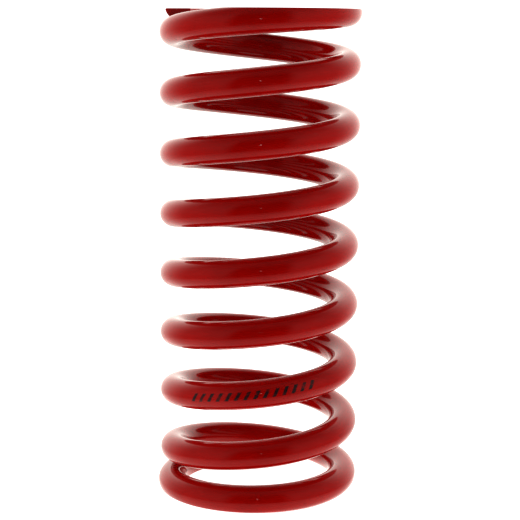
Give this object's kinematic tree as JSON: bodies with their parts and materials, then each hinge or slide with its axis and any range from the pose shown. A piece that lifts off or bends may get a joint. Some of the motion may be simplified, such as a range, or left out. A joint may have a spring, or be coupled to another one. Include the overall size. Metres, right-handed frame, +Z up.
{
  "type": "coil spring",
  "caption": "Right-hand helical compression spring of round wire with closed, ground ends; its quarter turns slide down the axis together as it shortens.",
  "frame": {"origin": "on the spring's axis, in the plane of the lower ground face", "axes": "+Z up the axis to the upper ground face; -Y is the front, where the open coils climb from left to right"},
  "size_m": [0.0773, 0.0771, 0.185],
  "materials": {
    "powder_coat": "gloss"
  },
  "bodies": {
    "lower_end": {"coil_1_left": "powder_coat", "coil_1_front": "powder_coat", "coil_1_right": "powder_coat", "coil_1_rear": "powder_coat", "coil_2_left": "powder_coat"},
    "upper_end": {"coil_8_rear": "powder_coat", "coil_9_left": "powder_coat", "coil_9_front": "powder_coat", "coil_9_right": "powder_coat", "coil_9_rear": "powder_coat"},
    "coil_2_front": {"coil_2_front": "powder_coat"},
    "coil_2_right": {"coil_2_right": "powder_coat"},
    "coil_2_rear": {"coil_2_rear": "powder_coat"},
    "coil_3_left": {"coil_3_left": "powder_coat"},
    "coil_3_front": {"coil_3_front": "powder_coat"},
    "coil_3_right": {"coil_3_right": "powder_coat"},
    "coil_3_rear": {"coil_3_rear": "powder_coat"},
    "coil_4_left": {"coil_4_left": "powder_coat"},
    "coil_4_front": {"coil_4_front": "powder_coat"},
    "coil_4_right": {"coil_4_right": "powder_coat"},
    "coil_4_rear": {"coil_4_rear": "powder_coat"},
    "coil_5_left": {"coil_5_left": "powder_coat"},
    "coil_5_front": {"coil_5_front": "powder_coat"},
    "coil_5_right": {"coil_5_right": "powder_coat"},
    "coil_5_rear": {"coil_5_rear": "powder_coat"},
    "coil_6_left": {"coil_6_left": "powder_coat"},
    "coil_6_front": {"coil_6_front": "powder_coat"},
    "coil_6_right": {"coil_6_right": "powder_coat"},
    "coil_6_rear": {"coil_6_rear": "powder_coat"},
    "coil_7_left": {"coil_7_left": "powder_coat"},
    "coil_7_front": {"coil_7_front": "powder_coat"},
    "coil_7_right": {"coil_7_right": "powder_coat"},
    "coil_7_rear": {"coil_7_rear": "powder_coat"},
    "coil_8_left": {"coil_8_left": "powder_coat"},
    "coil_8_front": {"coil_8_front": "powder_coat"},
    "coil_8_right": {"coil_8_right": "powder_coat"}
  },
  "joints": [
    {"name": "compression", "type": "slide", "parent": "lower_end", "child": "upper_end", "axis": [0, 0, -1], "range_m": [0, 0.075], "stiffness_N_per_m": 62400},
    {"name": "coil_2_front_travel", "type": "slide", "parent": "lower_end", "child": "coil_2_front", "axis": [0, 0, -1], "range_m": [0, 0.0015]},
    {"name": "coil_2_right_travel", "type": "slide", "parent": "lower_end", "child": "coil_2_right", "axis": [0, 0, -1], "range_m": [0, 0.0044]},
    {"name": "coil_2_rear_travel", "type": "slide", "parent": "lower_end", "child": "coil_2_rear", "axis": [0, 0, -1], "range_m": [0, 0.0073]},
    {"name": "coil_3_left_travel", "type": "slide", "parent": "lower_end", "child": "coil_3_left", "axis": [0, 0, -1], "range_m": [0, 0.0101]},
    {"name": "coil_3_front_travel", "type": "slide", "parent": "lower_end", "child": "coil_3_front", "axis": [0, 0, -1], "range_m": [0, 0.013]},
    {"name": "coil_3_right_travel", "type": "slide", "parent": "lower_end", "child": "coil_3_right", "axis": [0, 0, -1], "range_m": [0, 0.0159]},
    {"name": "coil_3_rear_travel", "type": "slide", "parent": "lower_end", "child": "coil_3_rear", "axis": [0, 0, -1], "range_m": [0, 0.0188]},
    {"name": "coil_4_left_travel", "type": "slide", "parent": "lower_end", "child": "coil_4_left", "axis": [0, 0, -1], "range_m": [0, 0.0217]},
    {"name": "coil_4_front_travel", "type": "slide", "parent": "lower_end", "child": "coil_4_front", "axis": [0, 0, -1], "range_m": [0, 0.0246]},
    {"name": "coil_4_right_travel", "type": "slide", "parent": "lower_end", "child": "coil_4_right", "axis": [0, 0, -1], "range_m": [0, 0.0275]},
    {"name": "coil_4_rear_travel", "type": "slide", "parent": "lower_end", "child": "coil_4_rear", "axis": [0, 0, -1], "range_m": [0, 0.0303]},
    {"name": "coil_5_left_travel", "type": "slide", "parent": "lower_end", "child": "coil_5_left", "axis": [0, 0, -1], "range_m": [0, 0.0332]},
    {"name": "coil_5_front_travel", "type": "slide", "parent": "lower_end", "child": "coil_5_front", "axis": [0, 0, -1], "range_m": [0, 0.0361]},
    {"name": "coil_5_right_travel", "type": "slide", "parent": "lower_end", "child": "coil_5_right", "axis": [0, 0, -1], "range_m": [0, 0.039]},
    {"name": "coil_5_rear_travel", "type": "slide", "parent": "lower_end", "child": "coil_5_rear", "axis": [0, 0, -1], "range_m": [0, 0.0419]},
    {"name": "coil_6_left_travel", "type": "slide", "parent": "lower_end", "child": "coil_6_left", "axis": [0, 0, -1], "range_m": [0, 0.0448]},
    {"name": "coil_6_front_travel", "type": "slide", "parent": "lower_end", "child": "coil_6_front", "axis": [0, 0, -1], "range_m": [0, 0.0476]},
    {"name": "coil_6_right_travel", "type": "slide", "parent": "lower_end", "child": "coil_6_right", "axis": [0, 0, -1], "range_m": [0, 0.0505]},
    {"name": "coil_6_rear_travel", "type": "slide", "parent": "lower_end", "child": "coil_6_rear", "axis": [0, 0, -1], "range_m": [0, 0.0534]},
    {"name": "coil_7_left_travel", "type": "slide", "parent": "lower_end", "child": "coil_7_left", "axis": [0, 0, -1], "range_m": [0, 0.0563]},
    {"name": "coil_7_front_travel", "type": "slide", "parent": "lower_end", "child": "coil_7_front", "axis": [0, 0, -1], "range_m": [0, 0.0592]},
    {"name": "coil_7_right_travel", "type": "slide", "parent": "lower_end", "child": "coil_7_right", "axis": [0, 0, -1], "range_m": [0, 0.0621]},
    {"name": "coil_7_rear_travel", "type": "slide", "parent": "lower_end", "child": "coil_7_rear", "axis": [0, 0, -1], "range_m": [0, 0.065]},
    {"name": "coil_8_left_travel", "type": "slide", "parent": "lower_end", "child": "coil_8_left", "axis": [0, 0, -1], "range_m": [0, 0.0678]},
    {"name": "coil_8_front_travel", "type": "slide", "parent": "lower_end", "child": "coil_8_front", "axis": [0, 0, -1], "range_m": [0, 0.0707]},
    {"name": "coil_8_right_travel", "type": "slide", "parent": "lower_end", "child": "coil_8_right", "axis": [0, 0, -1], "range_m": [0, 0.0736]}
  ],
  "couplings": [
    {"joint": "coil_2_front_travel", "follows": "compression", "ratio": 0.019231},
    {"joint": "coil_2_right_travel", "follows": "compression", "ratio": 0.057692},
    {"joint": "coil_2_rear_travel", "follows": "compression", "ratio": 0.096154},
    {"joint": "coil_3_left_travel", "follows": "compression", "ratio": 0.13462},
    {"joint": "coil_3_front_travel", "follows": "compression", "ratio": 0.17308},
    {"joint": "coil_3_right_travel", "follows": "compression", "ratio": 0.21154},
    {"joint": "coil_3_rear_travel", "follows": "compression", "ratio": 0.25},
    {"joint": "coil_4_left_travel", "follows": "compression", "ratio": 0.28846},
    {"joint": "coil_4_front_travel", "follows": "compression", "ratio": 0.32692},
    {"joint": "coil_4_right_travel", "follows": "compression", "ratio": 0.36539},
    {"joint": "coil_4_rear_travel", "follows": "compression", "ratio": 0.40385},
    {"joint": "coil_5_left_travel", "follows": "compression", "ratio": 0.44231},
    {"joint": "coil_5_front_travel", "follows": "compression", "ratio": 0.48077},
    {"joint": "coil_5_right_travel", "follows": "compression", "ratio": 0.51923},
    {"joint": "coil_5_rear_travel", "follows": "compression", "ratio": 0.55769},
    {"joint": "coil_6_left_travel", "follows": "compression", "ratio": 0.59615},
    {"joint": "coil_6_front_travel", "follows": "compression", "ratio": 0.63462},
    {"joint": "coil_6_right_travel", "follows": "compression", "ratio": 0.67308},
    {"joint": "coil_6_rear_travel", "follows": "compression", "ratio": 0.71154},
    {"joint": "coil_7_left_travel", "follows": "compression", "ratio": 0.75},
    {"joint": "coil_7_front_travel", "follows": "compression", "ratio": 0.78846},
    {"joint": "coil_7_right_travel", "follows": "compression", "ratio": 0.82692},
    {"joint": "coil_7_rear_travel", "follows": "compression", "ratio": 0.86538},
    {"joint": "coil_8_left_travel", "follows": "compression", "ratio": 0.90385},
    {"joint": "coil_8_front_travel", "follows": "compression", "ratio": 0.94231},
    {"joint": "coil_8_right_travel", "follows": "compression", "ratio": 0.98077}
  ]
}
